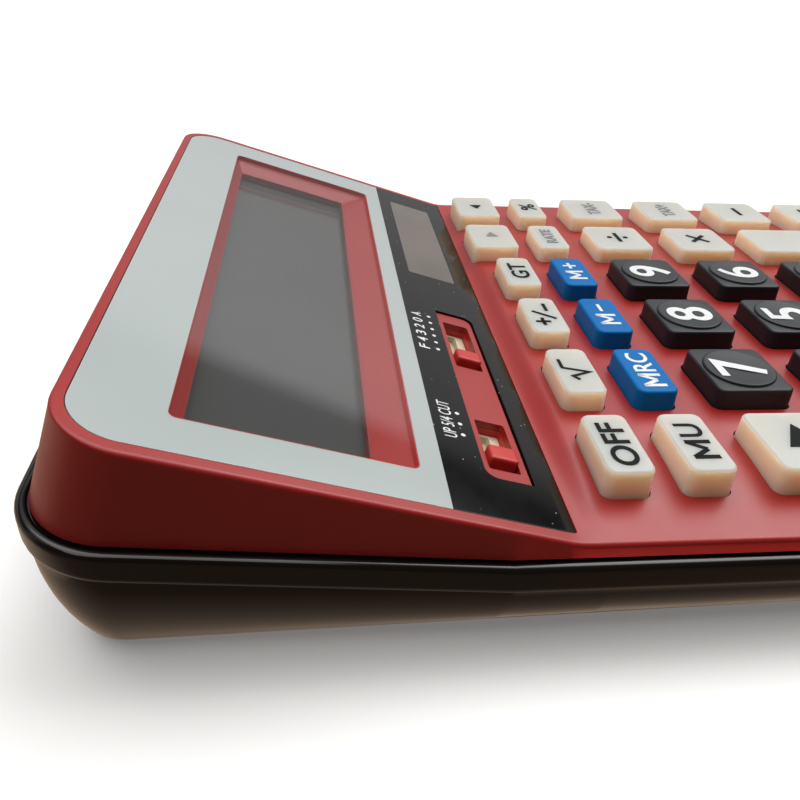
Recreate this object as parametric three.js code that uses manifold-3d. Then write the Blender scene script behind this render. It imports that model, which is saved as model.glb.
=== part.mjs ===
// Desk calculator with a raised, tilted display: two housing halves, display stack, keypad, electronics.
// Millimetres. Everything is laid out on the key deck (X right, Y towards the display, Z out of the deck),
// then the whole assembly is leaned by BASE_TILT so that its feet stand flat on the table.
import * as THREE from 'three';
import { mergeVertices } from 'three/addons/utils/BufferGeometryUtils.js';
import Module from 'manifold-3d';

const wasm = await Module();
wasm.setup();

// ---- driving dimensions ----
const FIT = 0.3;
const HALF_WIDTH = 73.6;
const DECK_FRONT = -84;
const DECK_BACK = 113.7;
const TOP_CORNER = 10;
const FRONT_CORNER = 7;
const EDGE = 1.1;
const WALL = 2;
const CREASE = 42;
const SLOPE = 0.287;
const DISPLAY_ANGLE = Math.atan(SLOPE);
const BACK_LEAN = 5.6;
const SIDE_LEAN = 0.9;
const DISPLAY_SHELL = 4.4;
const CROWN = [
  { inset: 9, rise: 0.5 },
  { inset: 18, rise: 1.15 },
  { inset: 28, rise: 1.65 },
];
const CROWN_RISE = CROWN[CROWN.length - 1].rise;

const FLANGE_OUT = 2;
const FLANGE_HEIGHT = 4.2;
const RIM_FRONT = -1.7;
const RIM_BREAK = 52;
const RIM_SLOPE = 0.09;
const BASE_DEPTH = 16.5;
const BASE_SLOPE = 0.0228;
const BASE_TILT = Math.atan(BASE_SLOPE);
const BASE_INSET = 4.6;
const FLOOR = 2;

const PANEL_HALF = 71.2;
const PANEL_LENGTH = 72.6;
const PANEL_THICK = 1.5;
const PANEL_CORNER = 8.2;
const RECESS_DEPTH = 3;
const WINDOW = { x0: -63.7, x1: 61.5, y0: 23.5, y1: 59.8, r: 1.3 };
const LCD_VIEW = { x0: -59.5, x1: 56.5, y0: 30, y1: 57.6, r: 0.4 };
const SOLAR = { x0: 12.4, x1: 61.8, y0: 4.7, y1: 16.3, r: 0.6 };
const SLIDER_LAND = { x0: -61.6, x1: -5.4, y0: 4.2, y1: 12.4, r: 2.2 };
const SLOTS = [
  { name: 'rounding', x0: -58.8, x1: -45.4, knob: -55.4 },
  { name: 'decimal', x0: -27.4, x1: -9.4, knob: -24 },
];
const SLOT_Y0 = 5.7;
const SLOT_Y1 = 11.2;
const KNOB_LENGTH = 4.4;
const KNOB_RISE = 1.2;

const KEY_PITCH_X = 22.5;
const KEY_WIDTH = 16;
const KEY_TOP = 5.5;
const KEY_EDGE = 0.8;
const KEY_DRAFT = 0.25;
const KEY_CORNER = 1.8;
const KEY_GAP = 0.35;
const KEY_SKIRT = 1;
const KEY_FLOOR = -3.4;
const KEY_WALL = 1.4;
const ROW_Y = [32, 18.7, 0, -22.3, -44.6, -66.9];
const SHORT = 8;
const MIDDLE = 11.6;
const LONG = 15;
const MIDDLE_SHIFT = MIDDLE / 2 - SHORT / 2;
const TALL = LONG + ROW_Y[4] - ROW_Y[5];
const DISC_RADIUS = 6.1;
const DISC_RISE = 0.45;
const PLUNGER_RADIUS = 1.5;

const BOARD_TOP = -6.6;
const BOARD_THICK = 1.6;
const BOARD = { x0: -66, x1: 66, y0: -78, y1: 82, r: 2 };
const MEMBRANE_TOP = -5.7;
const MEMBRANE_THICK = 0.6;
const DOME_TOP = KEY_FLOOR - FIT;

const SCREW_X = 65.5;
const SCREW_Y = 106;
const FOOT_RADIUS = 5.5;
const FOOT_THICK = 1.5;
const COVER = { x: 34, y: 88, r: 11, thick: 1.8 };
const CELL_RADIUS = 5.8;
const CELL_THICK = 3.6;

// ---- colours and finishes ----
const RED = { color: 0xb22f2a, roughness: 0.42, metalness: 0 };
const BLACK = { color: 0x100e0e, roughness: 0.18, metalness: 0 };
const PANEL_WHITE = { color: 0xc3cac8, roughness: 0.2, metalness: 0 };
const CLEAR = { color: 0x8c9390, roughness: 0.05, metalness: 0 };
const SOLAR_TINT = { color: 0x6b6058, roughness: 0.12, metalness: 0 };
const LCD_GREY = { color: 0x74766e, roughness: 0.25, metalness: 0 };
const KEY_WHITE = { color: 0xd8d9d0, roughness: 0.42, metalness: 0 };
const KEY_BLUE = { color: 0x0a62b8, roughness: 0.38, metalness: 0 };
const KEY_DARK = { color: 0x3a3c40, roughness: 0.38, metalness: 0 };
const BEIGE = { color: 0xd6cfae, roughness: 0.5, metalness: 0 };
const BOARD_GREEN = { color: 0x1f6b3c, roughness: 0.45, metalness: 0 };
const RUBBER_GREY = { color: 0x9fa3a6, roughness: 0.8, metalness: 0 };
const RUBBER_BLACK = { color: 0x1b1b1b, roughness: 0.85, metalness: 0 };
const EPOXY = { color: 0x0d0d0f, roughness: 0.3, metalness: 0 };
const STEEL = { color: 0xb9bcc0, roughness: 0.3, metalness: 1 };
const SILICON = { color: 0x2a1f26, roughness: 0.2, metalness: 0.2 };

// ---- heights that change along the deck ----
const surfaceAt = (y) => Math.max(0, y - CREASE) * SLOPE;
const crownShareAt = (y) => THREE.MathUtils.clamp((CREASE - y) / 4, 0, 1);
const rimAt = (y) => RIM_FRONT + Math.max(0, y - RIM_BREAK) * RIM_SLOPE;
const baseAt = (y) => -BASE_DEPTH - y * BASE_SLOPE;
const ceilingAt = (y) => {
  const drop = DISPLAY_SHELL / Math.cos(DISPLAY_ANGLE);
  const blend = THREE.MathUtils.clamp((y - (CREASE - 4)) / 5, 0, 1);
  return surfaceAt(y) - THREE.MathUtils.lerp(WALL, drop, blend);
};

const CELL_FLOOR = baseAt(COVER.y) + COVER.thick + 2 * FIT;

// ---- manifold bridge ----
function toSolid(geometry) {
  const plain = geometry.clone();
  plain.deleteAttribute('normal');
  plain.deleteAttribute('uv');
  const welded = mergeVertices(plain, 1e-4);
  const mesh = new wasm.Mesh({
    numProp: 3,
    vertProperties: new Float32Array(welded.attributes.position.array),
    triVerts: new Uint32Array(welded.index.array),
  });
  mesh.merge();
  return new wasm.Manifold(mesh);
}

function toGeometry(solid) {
  const mesh = solid.getMesh();
  const geometry = new THREE.BufferGeometry();
  geometry.setAttribute('position', new THREE.BufferAttribute(new Float32Array(mesh.vertProperties), 3));
  geometry.setIndex(new THREE.BufferAttribute(new Uint32Array(mesh.triVerts), 1));
  geometry.computeVertexNormals();
  return geometry;
}

const unite = (parts) => parts.reduce((sum, part) => sum.add(part));
const carve = (body, cuts) => cuts.reduce((rest, cut) => rest.subtract(cut), body);

// ---- closed shapes from stacked rings; every ring holds the same number of [x, y, z] points ----
function stackRings(rings, capTriangles) {
  const count = rings[0].length;
  const index = [];
  for (let r = 0; r + 1 < rings.length; r += 1) {
    for (let i = 0; i < count; i += 1) {
      const a = r * count + i;
      const b = r * count + ((i + 1) % count);
      index.push(a, b, b + count, a, b + count, a + count);
    }
  }
  const last = (rings.length - 1) * count;
  for (const [a, b, c] of capTriangles) {
    index.push(a, c, b);
    index.push(last + a, last + b, last + c);
  }
  const geometry = new THREE.BufferGeometry();
  geometry.setAttribute('position', new THREE.Float32BufferAttribute(rings.flat(2), 3));
  geometry.setIndex(index);
  return geometry;
}

function fanCap(count) {
  const triangles = [];
  for (let i = 1; i + 1 < count; i += 1) {
    triangles.push([0, i, i + 1]);
  }
  return triangles;
}

// A symmetric ring is a right half from front to back plus its mirror; ladder caps stay level across X.
function ladderCap(half) {
  const triangles = [];
  const count = half * 2;
  for (let i = 0; i + 1 < half; i += 1) {
    const left = count - 1 - i;
    triangles.push([i, i + 1, left - 1], [i, left - 1, left]);
  }
  return triangles;
}

function arcPoints(cx, cy, radius, from, steps) {
  const points = [];
  for (let i = 0; i <= steps; i += 1) {
    const angle = from + (Math.PI / 2) * (i / steps);
    points.push([cx + radius * Math.cos(angle), cy + radius * Math.sin(angle)]);
  }
  return points;
}

function caseOutline({ half, front, back, frontCorner, backCorner }, inset) {
  const w = half - inset;
  const y0 = front + inset;
  const y1 = back - inset;
  const rf = Math.max(frontCorner - inset, 1);
  const rb = Math.max(backCorner - inset, 1);
  const steps = 6;
  return [
    ...arcPoints(w - rf, y0 + rf, rf, -Math.PI / 2, steps),
    [w, CREASE - 4],
    [w, CREASE],
    [w, CREASE + 1],
    [w, RIM_BREAK],
    ...arcPoints(w - rb, y1 - rb, rb, 0, steps),
  ];
}

function caseRing(outline, heightAt) {
  const right = outline.map(([x, y]) => [x, y, heightAt(y)]);
  const left = right.map(([x, y, z]) => [-x, y, z]).reverse();
  return [...right, ...left];
}

function caseSolid(layers) {
  const rings = layers.map(({ outline, heightAt }) => caseRing(outline, heightAt));
  return toSolid(stackRings(rings, ladderCap(rings[0].length / 2)));
}

// ---- flat stock ----
function roundedShape({ x0, x1, y0, y1, r }, grow = 0, corners = [1, 1, 1, 1]) {
  const [left, right, bottom, top] = [x0 - grow, x1 + grow, y0 - grow, y1 + grow];
  const radii = corners.map((on) => (on ? Math.max(r + grow, 0.05) : 0.05));
  const shape = new THREE.Shape();
  shape.moveTo(left + radii[0], bottom);
  shape.lineTo(right - radii[1], bottom);
  shape.absarc(right - radii[1], bottom + radii[1], radii[1], -Math.PI / 2, 0);
  shape.lineTo(right, top - radii[2]);
  shape.absarc(right - radii[2], top - radii[2], radii[2], 0, Math.PI / 2);
  shape.lineTo(left + radii[3], top);
  shape.absarc(left + radii[3], top - radii[3], radii[3], Math.PI / 2, Math.PI);
  shape.lineTo(left, bottom + radii[0]);
  shape.absarc(left + radii[0], bottom + radii[0], radii[0], Math.PI, Math.PI * 1.5);
  return shape;
}

function plate(shape, z0, z1, curveSegments = 4) {
  const geometry = new THREE.ExtrudeGeometry(shape, {
    depth: z1 - z0,
    bevelEnabled: false,
    curveSegments,
  });
  geometry.translate(0, 0, z0);
  return toSolid(geometry);
}

function post(x, y, radius, z0, z1, sides = 20) {
  const geometry = new THREE.CylinderGeometry(radius, radius, z1 - z0, sides);
  geometry.rotateX(Math.PI / 2);
  geometry.translate(x, y, (z0 + z1) / 2);
  return toSolid(geometry);
}

function block(x0, x1, y0, y1, z0, z1) {
  const geometry = new THREE.BoxGeometry(x1 - x0, y1 - y0, z1 - z0);
  geometry.translate((x0 + x1) / 2, (y0 + y1) / 2, (z0 + z1) / 2);
  return toSolid(geometry);
}

// Moves something drawn flat on the display face into its tilted place.
const onDisplay = (solid) =>
  solid.rotate([THREE.MathUtils.radToDeg(DISPLAY_ANGLE), 0, 0]).translate([0, CREASE, 0]);

// Moves something drawn below a level base into the deck's own lean.
const onBase = (solid) =>
  solid.rotate([-THREE.MathUtils.radToDeg(BASE_TILT), 0, 0]).translate([0, 0, -BASE_DEPTH]);

// ---- outlines of the two housing halves ----
const TOP_FOOT = {
  half: HALF_WIDTH + SIDE_LEAN,
  front: DECK_FRONT - SIDE_LEAN,
  back: DECK_BACK + BACK_LEAN,
  frontCorner: FRONT_CORNER + SIDE_LEAN,
  backCorner: TOP_CORNER + 2,
};
const TOP_RIM = {
  half: HALF_WIDTH,
  front: DECK_FRONT,
  back: DECK_BACK,
  frontCorner: FRONT_CORNER,
  backCorner: TOP_CORNER,
};
const FLANGE = {
  half: TOP_FOOT.half + FLANGE_OUT,
  front: TOP_FOOT.front - FLANGE_OUT,
  back: TOP_FOOT.back + FLANGE_OUT,
  frontCorner: TOP_FOOT.frontCorner + FLANGE_OUT,
  backCorner: TOP_FOOT.backCorner + FLANGE_OUT,
};

// ---- keypad layout: column, row, depth, finish ----
const columnX = (column) => (column - 2.5) * KEY_PITCH_X;
const WHITE_KEYS = [
  ['off', 0, 0], ['square_root', 1, 0], ['plus_minus', 2, 0], ['grand_total', 3, 0],
  ['mark_up', 0, 1], ['percent', 5, 1], ['tax', 4, 1],
  ['backspace', 0, 2], ['divide', 4, 2], ['tax_minus', 5, 2],
  ['exchange', 0, 3], ['multiply', 4, 3], ['tax_plus', 5, 3],
  ['clear_entry', 0, 4], ['minus', 5, 4],
  ['all_clear', 0, 5], ['equals', 5, 5],
];
const BLUE_KEYS = [['memory_recall', 1, 1], ['memory_minus', 2, 1], ['memory_plus', 3, 1]];
const DARK_KEYS = [
  ['7', 1, 2], ['8', 2, 2], ['9', 3, 2],
  ['4', 1, 3], ['5', 2, 3], ['6', 3, 3],
  ['1', 1, 4], ['2', 2, 4], ['3', 3, 4],
  ['0', 1, 5], ['00', 2, 5], ['point', 3, 5],
];

function rowDepth(row) {
  return row < 2 ? SHORT : LONG;
}

function keyAt(name, column, row, finish, disc = false) {
  return { name, x: columnX(column), y: ROW_Y[row], depth: rowDepth(row), finish, disc };
}

const KEYS = [
  ...WHITE_KEYS.map(([name, column, row]) => keyAt(name, column, row, KEY_WHITE)),
  ...BLUE_KEYS.map(([name, column, row]) => keyAt(name, column, row, KEY_BLUE)),
  ...DARK_KEYS.map(([name, column, row]) => keyAt(name, column, row, KEY_DARK, true)),
  ...['check', 'correct'].map((name, i) => ({
    name, x: columnX(4 + i), y: ROW_Y[0] + MIDDLE_SHIFT, depth: MIDDLE, finish: KEY_WHITE, disc: false,
  })),
  { name: 'plus', x: columnX(4), y: (ROW_Y[4] + ROW_Y[5]) / 2, depth: TALL, finish: KEY_WHITE, disc: false },
];

// ---- keys: hollow caps with a centre plunger and a retaining skirt under the deck ----
function keyRing(key, grow, radius, z, steps) {
  const w = KEY_WIDTH / 2 + grow;
  const d = key.depth / 2 + grow;
  const corners = [[1, -1, -Math.PI / 2], [1, 1, 0], [-1, 1, Math.PI / 2], [-1, -1, Math.PI]];
  return corners.flatMap(([sx, sy, from]) =>
    arcPoints(key.x + sx * (w - radius), key.y + sy * (d - radius), radius, from, steps)
      .map(([x, y]) => [x, y, z]));
}

function discRing(key, radius, z, count) {
  return Array.from({ length: count }, (_, i) => {
    const turn = i + 0.5 - count / 8;
    const angle = turn * ((Math.PI * 2) / count);
    return [key.x + radius * Math.cos(angle), key.y + radius * Math.sin(angle), z];
  });
}

function keySolid(key) {
  const steps = key.disc ? 3 : 2;
  const count = 4 * (steps + 1);
  const inside = KEY_TOP - KEY_WALL;
  const rings = [
    discRing(key, PLUNGER_RADIUS, KEY_FLOOR, count),
    discRing(key, PLUNGER_RADIUS, inside, count),
    keyRing(key, -KEY_WALL, KEY_CORNER / 2, inside, steps),
    keyRing(key, -KEY_WALL, KEY_CORNER / 2, KEY_FLOOR, steps),
    keyRing(key, KEY_SKIRT, KEY_CORNER, KEY_FLOOR, steps),
    keyRing(key, KEY_SKIRT, KEY_CORNER, -WALL - FIT, steps),
    keyRing(key, 0, KEY_CORNER, -WALL - FIT, steps),
    keyRing(key, -KEY_DRAFT, KEY_CORNER, KEY_TOP - KEY_EDGE, steps),
    keyRing(key, -KEY_DRAFT - KEY_EDGE, KEY_CORNER, KEY_TOP, steps),
  ];
  if (key.disc) {
    rings.push(discRing(key, DISC_RADIUS, KEY_TOP, count));
    rings.push(discRing(key, DISC_RADIUS, KEY_TOP + DISC_RISE, count));
  }
  return toSolid(stackRings(rings, fanCap(count)));
}

function keyHole(key) {
  const rings = [-WALL - 1, CROWN_RISE + 1].map((z) => keyRing(key, KEY_GAP, KEY_CORNER, z, 2));
  return toSolid(stackRings(rings, fanCap(rings[0].length)));
}

// ---- top housing ----
function topHousing() {
  const shell = caseSolid([
    { outline: caseOutline(TOP_FOOT, 0), heightAt: (y) => rimAt(y) + FIT },
    { outline: caseOutline(TOP_RIM, 0), heightAt: (y) => surfaceAt(y) - EDGE },
    { outline: caseOutline(TOP_RIM, EDGE), heightAt: surfaceAt },
    ...CROWN.map(({ inset, rise }) => ({
      outline: caseOutline(TOP_RIM, inset),
      heightAt: (y) => surfaceAt(y) + rise * crownShareAt(y),
    })),
  ]);
  const hollow = caseSolid([
    { outline: caseOutline(TOP_FOOT, WALL), heightAt: (y) => rimAt(y) - WALL },
    { outline: caseOutline(TOP_FOOT, WALL), heightAt: (y) => rimAt(y) + FIT / 2 },
    { outline: caseOutline(TOP_RIM, WALL + 0.6), heightAt: ceilingAt },
  ]);
  const land = plate(roundedShape(SLIDER_LAND, -FIT, [0, 1, 0, 1]), -RECESS_DEPTH, -0.5);
  const pocket = plate(roundedShape(
    { x0: -PANEL_HALF, x1: PANEL_HALF, y0: 0, y1: PANEL_LENGTH, r: PANEL_CORNER },
    FIT,
    [0, 0, 1, 1],
  ), -PANEL_THICK - FIT, 2).subtract(land);
  const recess = plate(roundedShape(WINDOW, 2.6), -RECESS_DEPTH, 0);
  const openings = [
    plate(roundedShape(LCD_VIEW), -DISPLAY_SHELL - 2, 0),
    plate(roundedShape(SOLAR, -0.8), -DISPLAY_SHELL - 2, 0),
    ...SLOTS.map(({ x0, x1 }) => plate(
      roundedShape({ x0, x1, y0: SLOT_Y0, y1: SLOT_Y1, r: 0.4 }),
      -DISPLAY_SHELL - 2,
      1,
    )),
  ];
  const solarSeat = plate(roundedShape(SOLAR, 1.2), -RECESS_DEPTH, 0);
  const cuts = [pocket, recess, solarSeat, ...openings].map(onDisplay);
  const body = carve(shell, [hollow, ...cuts, ...KEYS.map(keyHole)]);
  const bosses = [-SCREW_X, SCREW_X].map((x) =>
    post(x, SCREW_Y, 3, -9, ceilingAt(SCREW_Y) + 0.4).subtract(post(x, SCREW_Y, 1.3, -10, 2)));
  return unite([body, ...bosses]);
}

// ---- bottom housing ----
function bottomHousing() {
  const tray = caseSolid([
    { outline: caseOutline(FLANGE, BASE_INSET + 1.6), heightAt: baseAt },
    { outline: caseOutline(FLANGE, BASE_INSET), heightAt: (y) => baseAt(y) + 1.2 },
    { outline: caseOutline(FLANGE, 1), heightAt: (y) => rimAt(y) - FLANGE_HEIGHT - 0.9 },
    { outline: caseOutline(FLANGE, 0), heightAt: (y) => rimAt(y) - FLANGE_HEIGHT },
    { outline: caseOutline(FLANGE, 0), heightAt: (y) => rimAt(y) - 0.7 },
    { outline: caseOutline(FLANGE, 0.7), heightAt: rimAt },
  ]);
  const hollow = caseSolid([
    { outline: caseOutline(FLANGE, BASE_INSET + FLOOR + 0.8), heightAt: (y) => baseAt(y) + FLOOR },
    { outline: caseOutline(FLANGE, 4.2), heightAt: (y) => rimAt(y) - FLANGE_HEIGHT - 0.9 },
    { outline: caseOutline(FLANGE, 4.2), heightAt: (y) => rimAt(y) + 2 },
  ]);
  const boardPosts = [-40, 40].flatMap((x) => [-60, 60].map((y) =>
    post(x, y, 3, baseAt(y) + 1, BOARD_TOP - BOARD_THICK - FIT, 12)));
  const screwBosses = [-SCREW_X, SCREW_X].map((x) =>
    post(x, SCREW_Y, 4.6, baseAt(SCREW_Y) + 1, -9 - FIT));
  const seatBoss = post(COVER.x, COVER.y, COVER.r + 2.4, baseAt(COVER.y) + 1, baseAt(COVER.y) + 4, 32);
  const cellWallTop = CELL_FLOOR + CELL_THICK - FIT;
  const cellWall = post(COVER.x, COVER.y, CELL_RADIUS + 2.2, baseAt(COVER.y) + 1, cellWallTop, 28);
  const solid = unite([tray.subtract(hollow), ...boardPosts, ...screwBosses, seatBoss, cellWall]);
  const screwHoles = [-SCREW_X, SCREW_X].flatMap((x) => [
    post(x, SCREW_Y, 1.4, -30, 0),
    post(x, SCREW_Y, 3.2, -30, -12.8),
  ]);
  const cellBore = post(COVER.x, COVER.y, CELL_RADIUS + 0.4, -30, -8, 28);
  const coverSeat = onBase(post(COVER.x, COVER.y, COVER.r + FIT, -2, COVER.thick + FIT, 40));
  const slotX = COVER.x + CELL_RADIUS;
  const slotFloor = baseAt(COVER.y) + COVER.thick + 0.6;
  const terminalSlot = block(slotX - 1, slotX + 3, COVER.y - 2.4, COVER.y + 2.4, slotFloor, -8);
  return carve(solid, [...screwHoles, cellBore, coverSeat, terminalSlot]);
}

// ---- display stack ----
function displayPanel() {
  const shape = roundedShape(
    { x0: -PANEL_HALF, x1: PANEL_HALF, y0: FIT, y1: PANEL_LENGTH, r: PANEL_CORNER },
    0,
    [0, 0, 1, 1],
  );
  const sheet = plate(shape, -PANEL_THICK, 0, 6);
  return onDisplay(carve(sheet, [
    plate(roundedShape(WINDOW), -PANEL_THICK - 1, 1),
    plate(roundedShape(SOLAR), -PANEL_THICK - 1, 1),
    plate(roundedShape(SLIDER_LAND, 0, [0, 1, 0, 1]), -PANEL_THICK - 1, 1),
  ]));
}

function flangedPane(opening, lip) {
  return onDisplay(unite([
    plate(roundedShape(opening, -FIT), -PANEL_THICK - 2 * FIT, -0.05),
    plate(roundedShape(opening, lip), -RECESS_DEPTH + FIT, -PANEL_THICK - FIT),
  ]));
}

const lcdCell = () => onDisplay(unite([
  block(-64, 61, 26.5, 60.5, -DISPLAY_SHELL - FIT - 1.2, -DISPLAY_SHELL - FIT),
  block(-64, 61, 29.5, 60.5, -DISPLAY_SHELL - FIT - 2.3, -DISPLAY_SHELL - FIT - 1.1),
]));
const lcdConnector = () => block(-52, 52, 68.8, 70.6, BOARD_TOP + FIT, 0.7);
const solarCell = () => onDisplay(block(SOLAR.x0 - 1.5, SOLAR.x1 + 1.5, SOLAR.y0 - 1.5, SOLAR.y1 + 1.5,
  -DISPLAY_SHELL - FIT - 1.1, -DISPLAY_SHELL - FIT));

// ---- slide switches ----
function sliderKnob({ knob }) {
  const shape = roundedShape({
    x0: knob - KNOB_LENGTH / 2, x1: knob + KNOB_LENGTH / 2, y0: SLOT_Y0 + FIT, y1: SLOT_Y1 - FIT, r: 0.4,
  });
  return onDisplay(plate(shape, -DISPLAY_SHELL, KNOB_RISE, 2));
}

function switchBody({ x0, x1 }) {
  return onDisplay(block(x0 - 1.5, x1 + 1.5, SLOT_Y0 - 2, SLOT_Y1 + 2,
    -DISPLAY_SHELL - FIT - 2.4, -DISPLAY_SHELL - FIT));
}

// ---- electronics ----
function keyMembrane() {
  const sheet = plate(roundedShape({ x0: -66, x1: 66, y0: -77, y1: 38.5, r: 2 }),
    MEMBRANE_TOP - MEMBRANE_THICK, MEMBRANE_TOP, 2);
  const domes = KEYS.map(({ x, y }) => {
    const geometry = new THREE.CylinderGeometry(1.6, 2.8, DOME_TOP - MEMBRANE_TOP + 0.2, 8);
    geometry.rotateX(Math.PI / 2);
    geometry.translate(x, y, (DOME_TOP + MEMBRANE_TOP - 0.2) / 2);
    return toSolid(geometry);
  });
  return unite([sheet, ...domes]);
}

const mainBoard = () => plate(roundedShape(BOARD), BOARD_TOP - BOARD_THICK, BOARD_TOP, 2);
const BOARD_UNDER = BOARD_TOP - BOARD_THICK;

function controllerChip() {
  const profile = [[0, 0], [7, 0], [6.4, 1], [4.4, 1.7], [0, 2]].map(([x, y]) => new THREE.Vector2(x, y));
  const geometry = new THREE.LatheGeometry(profile, 20);
  geometry.rotateX(-Math.PI / 2);
  geometry.translate(-8, 50, BOARD_UNDER - FIT);
  return toSolid(geometry);
}

// ---- power, feet and fasteners ----
const buttonCell = () => post(COVER.x, COVER.y, CELL_RADIUS, CELL_FLOOR, CELL_FLOOR + CELL_THICK, 28);

function batteryCover() {
  const disc = post(COVER.x, COVER.y, COVER.r, 0, COVER.thick, 40);
  const coinSlot = block(COVER.x - 5.5, COVER.x + 5.5, COVER.y - 0.9, COVER.y + 0.9, -1, 0.9);
  return onBase(disc.subtract(coinSlot));
}

function topContact() {
  const z = CELL_FLOOR + CELL_THICK + FIT;
  return unite([
    block(COVER.x - 9, COVER.x + 3, COVER.y - 2, COVER.y + 2, z, z + 0.4),
    block(COVER.x - 9.4, COVER.x - 9, COVER.y - 2, COVER.y + 2, z, BOARD_UNDER - 1),
  ]);
}

function sideContact() {
  const x = COVER.x + CELL_RADIUS + FIT;
  return unite([
    block(x, x + 0.4, COVER.y - 2, COVER.y + 2, CELL_FLOOR + 0.6, -9.2),
    block(x, x + 6, COVER.y - 2, COVER.y + 2, -9.4, -9),
  ]);
}

function housingScrew(x) {
  const head = post(x, SCREW_Y, 2.8, -14.7, -13.1);
  const cross = unite([
    block(x - 1.6, x + 1.6, SCREW_Y - 0.35, SCREW_Y + 0.35, -15, -13.9),
    block(x - 0.35, x + 0.35, SCREW_Y - 1.6, SCREW_Y + 1.6, -15, -13.9),
  ]);
  return unite([head, post(x, SCREW_Y, 1, -13.2, -1, 12)]).subtract(cross);
}

const FEET = [
  ['front_left', -58, -68],
  ['front_right', 58, -68],
  ['back_left', -58, 82],
  ['back_right', 58, 82],
];
const rubberFoot = ([, x, y]) => onBase(post(x, y, FOOT_RADIUS, -FIT - FOOT_THICK, -FIT, 24));

// ---- assembly ----
const assembly = new THREE.Group();
assembly.name = 'desk_calculator';

function addPiece(name, solid, finish) {
  const piece = new THREE.Mesh(toGeometry(solid), new THREE.MeshStandardMaterial(finish));
  piece.name = name;
  assembly.add(piece);
}

addPiece('top_housing', topHousing(), RED);
addPiece('bottom_housing', bottomHousing(), BLACK);
addPiece('display_panel', displayPanel(), PANEL_WHITE);
addPiece('display_window', flangedPane(WINDOW, 2), CLEAR);
addPiece('solar_window', flangedPane(SOLAR, 0.8), SOLAR_TINT);
addPiece('lcd_cell', lcdCell(), LCD_GREY);
addPiece('lcd_connector', lcdConnector(), RUBBER_GREY);
addPiece('solar_cell', solarCell(), SILICON);
for (const slot of SLOTS) {
  addPiece(`${slot.name}_knob`, sliderKnob(slot), RED);
  addPiece(`${slot.name}_switch`, switchBody(slot), BEIGE);
}
addPiece('main_board', mainBoard(), BOARD_GREEN);
addPiece('key_membrane', keyMembrane(), RUBBER_GREY);
addPiece('controller_chip', controllerChip(), EPOXY);
addPiece('button_cell', buttonCell(), STEEL);
addPiece('battery_cover', batteryCover(), BLACK);
addPiece('battery_contact_top', topContact(), STEEL);
addPiece('battery_contact_side', sideContact(), STEEL);
for (const foot of FEET) {
  addPiece(`foot_${foot[0]}`, rubberFoot(foot), RUBBER_BLACK);
}
addPiece('screw_left', housingScrew(-SCREW_X), STEEL);
addPiece('screw_right', housingScrew(SCREW_X), STEEL);
for (const key of KEYS) {
  addPiece(`key_${key.name}`, keySolid(key), key.finish);
}

// Lean the deck so the base is level, then put the origin under the middle of the part.
const lean = new THREE.Matrix4().makeRotationX(BASE_TILT);
for (const piece of assembly.children) {
  piece.geometry.applyMatrix4(lean);
}
const bounds = new THREE.Box3().setFromObject(assembly);
const centre = bounds.getCenter(new THREE.Vector3());
for (const piece of assembly.children) {
  piece.geometry.translate(-centre.x, -centre.y, -bounds.min.z);
}

export default assembly;
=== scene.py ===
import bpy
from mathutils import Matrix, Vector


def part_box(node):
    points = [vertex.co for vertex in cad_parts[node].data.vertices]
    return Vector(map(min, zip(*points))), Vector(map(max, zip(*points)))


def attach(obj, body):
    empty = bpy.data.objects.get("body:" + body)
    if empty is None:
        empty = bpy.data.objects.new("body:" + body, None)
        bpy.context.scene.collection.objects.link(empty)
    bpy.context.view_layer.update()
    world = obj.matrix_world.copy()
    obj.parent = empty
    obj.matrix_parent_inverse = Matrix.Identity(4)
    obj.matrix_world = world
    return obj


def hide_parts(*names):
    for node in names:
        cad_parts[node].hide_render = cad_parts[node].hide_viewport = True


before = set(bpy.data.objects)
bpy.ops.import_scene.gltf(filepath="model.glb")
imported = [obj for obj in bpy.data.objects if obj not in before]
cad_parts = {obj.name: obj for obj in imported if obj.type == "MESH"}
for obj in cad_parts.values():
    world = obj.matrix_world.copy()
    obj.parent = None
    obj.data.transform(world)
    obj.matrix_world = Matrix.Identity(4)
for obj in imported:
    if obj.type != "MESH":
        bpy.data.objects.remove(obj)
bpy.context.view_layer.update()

import math
import bpy
import bmesh
from mathutils import Matrix, Vector

# ---------------------------------------------------------------- frame of the key deck, in millimetres
SLOPE = 0.287
DISPLAY_ANGLE = math.atan(SLOPE)
CREASE = 42.0
BASE_DEPTH = 16.5
BASE_SLOPE = 0.0228
LEAN = math.atan(BASE_SLOPE)
HALF = 73.6
DECK_FRONT, DECK_BACK = -84.0, 113.7
SIDE_LEAN, BACK_LEAN = 0.9, 5.6
RIM_FRONT, RIM_BREAK, RIM_SLOPE = -1.7, 52.0, 0.09
FLANGE_OUT, FLANGE_HEIGHT = 2.0, 4.2
FOOT_X, FOOT_FRONT_Y, FOOT_BACK_Y, FOOT_HEIGHT = 58.0, -68.0, 82.0, 1.8

foot_lo, foot_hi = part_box("foot_front_left")
OFFSET_Y = (foot_lo[1] + foot_hi[1]) * 500 - (FOOT_FRONT_Y + BASE_DEPTH * math.sin(LEAN))
OFFSET_Z = BASE_DEPTH * math.cos(LEAN) + FOOT_HEIGHT
TO_ROW = (Matrix.Diagonal((0.001, 0.001, 0.001, 1.0))
          @ Matrix.Translation((0, OFFSET_Y, OFFSET_Z)) @ Matrix.Rotation(LEAN, 4, "X"))
ON_DISPLAY = Matrix.Translation((0, CREASE, 0)) @ Matrix.Rotation(DISPLAY_ANGLE, 4, "X")
ON_BASE = Matrix.Translation((0, 0, -BASE_DEPTH)) @ Matrix.Rotation(-LEAN, 4, "X")


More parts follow.
